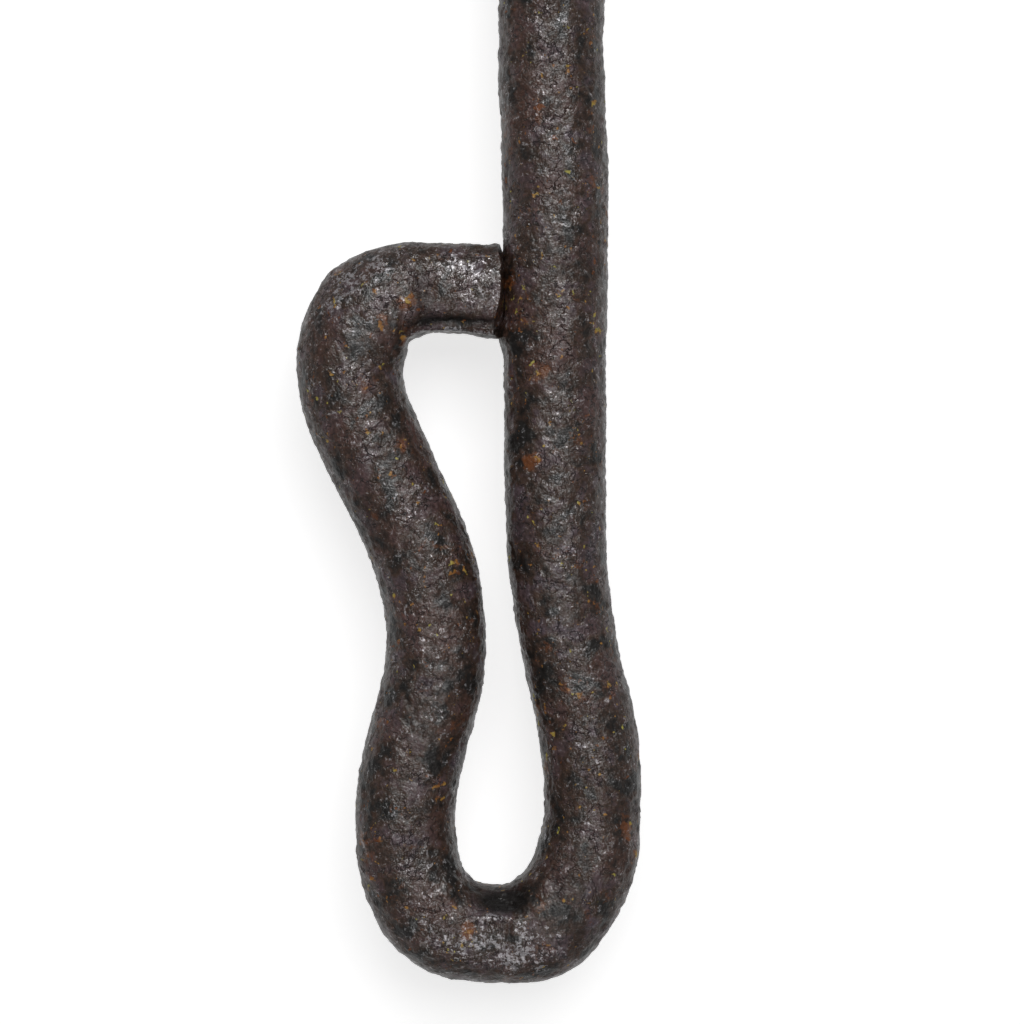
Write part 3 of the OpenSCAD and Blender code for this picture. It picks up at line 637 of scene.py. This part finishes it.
finishes = dict(
    forged_bar=ironFinish("waxed_forged_bar", waxedIron),
    plate_iron=ironFinish("waxed_plate_iron", plateIron),
    guide_iron=ironFinish("waxed_smithed_iron", waxedIron),
    block_iron=ironFinish("waxed_block_iron", waxedIron),
    rivet_iron=ironFinish("hammered_rivet_iron", rivetIron),
    spring_steel=ironFinish("oil_black_spring_steel", oilBlackSteel))
ironPieces = bpy.data.collections.new("iron_pieces")     # what the two gleam lamps light


def finishPiece(piece, slotName, body, *nodes):
    # its material, the body that it rides on, and the CAD nodes that it stands for
    piece.data.materials.clear()
    piece.data.materials.append(finishes[slotName])
    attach(piece, body)
    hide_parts(*nodes)
    ironPieces.objects.link(piece)


bodyOf = {node: body for body, nodes in frame["record"]["behaviour"]["bodies"].items() for node in nodes}
finishPiece(forgedLoop, "forged_bar", "bar", "bolt_bar")
finishPiece(upperBar, "forged_bar", "bar", "bolt_bar")
for node, piece in madePieces.items():
    finishPiece(piece, hammered[node]["slot"], bodyOf[node], node)
print("finishes laid on")

# Paper wall and floor in millimetres. Their lift is a glow of their own, which is full from farTo metres away
stage = dict(wallY=0.4, floorZ=-330.0, reach=2500.0, wallLift=0.72, floorLift=0.85, paperWhite=0.88,
             farFrom=0.3, farTo=0.8)
# Lamps in watts and metres, and the world's strength in front, behind and as the wax mirrors it
light = dict(keyPower=4.2, keySize=0.62, keyPlace=(0.10, -1.0, 0.25), aim=(0, barAxisY, -0.12),
             gleamPower=3.3, gleamSize=0.14, gleamPlace=(-0.04, -0.95, 0.39),
             lowPower=1.8, lowPlace=(0.02, -0.95, -0.72),
             front=0.13, behind=0.38, mirrored=0.3, turnFrom=-0.12, turnTo=0.15)


def grey(value):
    # the same linear value in red, green and blue
    return (value, value, value, 1.0)


def stagePlane(name, corners, material):
    # one flat sheet, which only the camera sees: the iron is lit by the world instead, and mirrors it
    piece = meshObject(name, np.array(corners) * mm, [[0, 1, 2, 3]])
    piece.data.materials.append(material)
    piece.visible_diffuse = False
    piece.visible_glossy = False
    piece.visible_transmission = False
    piece.visible_shadow = False


def paperMaterial(name, lift, oneSided):
    # white paper that takes the shadows; a one-sided sheet can't be seen from behind
    material = bpy.data.materials.new(name)
    material.use_nodes = True
    tree = material.node_tree
    tree.nodes.clear()
    diffuse = addNode(tree, "ShaderNodeBsdfDiffuse", {"Color": grey(stage["paperWhite"])})
    place = addNode(tree, "ShaderNodeTexCoord").outputs["Object"]
    away = addNode(tree, "ShaderNodeVectorMath", {0: place}, operation="LENGTH").outputs["Value"]
    lifted = addNode(tree, "ShaderNodeMapRange", {
        "Value": away, "From Min": stage["farFrom"], "From Max": stage["farTo"],
        "To Min": lift, "To Max": 1.0})
    glow = addNode(tree, "ShaderNodeEmission", {"Color": grey(1), "Strength": lifted.outputs["Result"]})
    surface = addNode(tree, "ShaderNodeAddShader", {0: diffuse.outputs[0], 1: glow.outputs[0]}).outputs[0]
    if oneSided:
        back = addNode(tree, "ShaderNodeNewGeometry").outputs["Backfacing"]
        front = addNode(tree, "ShaderNodeMath", {0: 1.0, 1: back}, operation="SUBTRACT").outputs["Value"]
        clear = addNode(tree, "ShaderNodeBsdfTransparent").outputs[0]
        surface = addNode(tree, "ShaderNodeMixShader", {0: front, 1: clear, 2: surface}).outputs[0]
    addNode(tree, "ShaderNodeOutputMaterial", {"Surface": surface})
    return material


ways = np.array([(-1, -1), (1, -1), (1, 1), (-1, 1)]) * stage["reach"]
stagePlane("wall", [(a, stage["wallY"], b) for a, b in ways],
           paperMaterial("white_paper_wall", stage["wallLift"], True))
stagePlane("floor", [(a, b, stage["floorZ"]) for a, b in ways],
           paperMaterial("white_paper_floor", stage["floorLift"], False))


def areaLamp(name, place, size, power):
    # a square lamp that faces the middle of the handle
    data = bpy.data.lights.new(name, "AREA")
    data.shape = "SQUARE"
    data.size = size
    data.energy = power
    lamp = bpy.data.objects.new(name, data)
    lamp.location = place
    lamp.rotation_euler = (Vector(light["aim"]) - Vector(place)).to_track_quat("-Z", "Y").to_euler()
    lamp.visible_camera = False
    bpy.context.scene.collection.objects.link(lamp)
    return lamp


areaLamp("soft_light", light["keyPlace"], light["keySize"], light["keyPower"])
gleam = areaLamp("gleam_light", light["gleamPlace"], light["gleamSize"], light["gleamPower"])
lowGleam = areaLamp("low_gleam_light", light["lowPlace"], light["gleamSize"], light["lowPower"])
for lamp in (gleam, lowGleam):
    lamp.light_linking.receiver_collection = ironPieces     # glints on the iron, no hard shadow on the paper

# The world is dim towards the room in front and lighter towards the wall behind. The camera sees it white,
# and the wax mirrors part of that white from the wall's side
world = bpy.data.worlds.new("white_room")
bpy.context.scene.world = world
world.use_nodes = True
sky = world.node_tree
sky.nodes.clear()
direction = addNode(sky, "ShaderNodeTexCoord").outputs["Generated"]
depthWays = addNode(sky, "ShaderNodeSeparateXYZ", {"Vector": direction}).outputs["Y"]
wallwards = addNode(sky, "ShaderNodeMapRange", {
    "Value": depthWays, "From Min": light["turnFrom"], "From Max": light["turnTo"]}).outputs["Result"]
roomShare = addNode(sky, "ShaderNodeMapRange", {
    "Value": wallwards, "To Min": light["front"], "To Max": light["behind"]}).outputs["Result"]
rays = addNode(sky, "ShaderNodeLightPath").outputs
mirrored = addNode(sky, "ShaderNodeMath", {
    0: rays["Is Glossy Ray"], 1: wallwards}, operation="MULTIPLY").outputs["Value"]
mirroredShare = addNode(sky, "ShaderNodeMath", {
    0: mirrored, 1: light["mirrored"]}, operation="MULTIPLY").outputs["Value"]
seenShare = addNode(sky, "ShaderNodeMath", {
    0: rays["Is Camera Ray"], 1: mirroredShare}, operation="MAXIMUM").outputs["Value"]
strength = addNode(sky, "ShaderNodeMix", {
    "Factor": seenShare, "A": roomShare, "B": 1.0}, data_type="FLOAT").outputs["Result"]
glow = addNode(sky, "ShaderNodeBackground", {"Color": grey(1), "Strength": strength}).outputs["Background"]
addNode(sky, "ShaderNodeOutputWorld", {"Surface": glow})
bpy.context.scene.view_settings.view_transform = "Standard"
print("stage and light set")


bpy.context.view_layer.update()
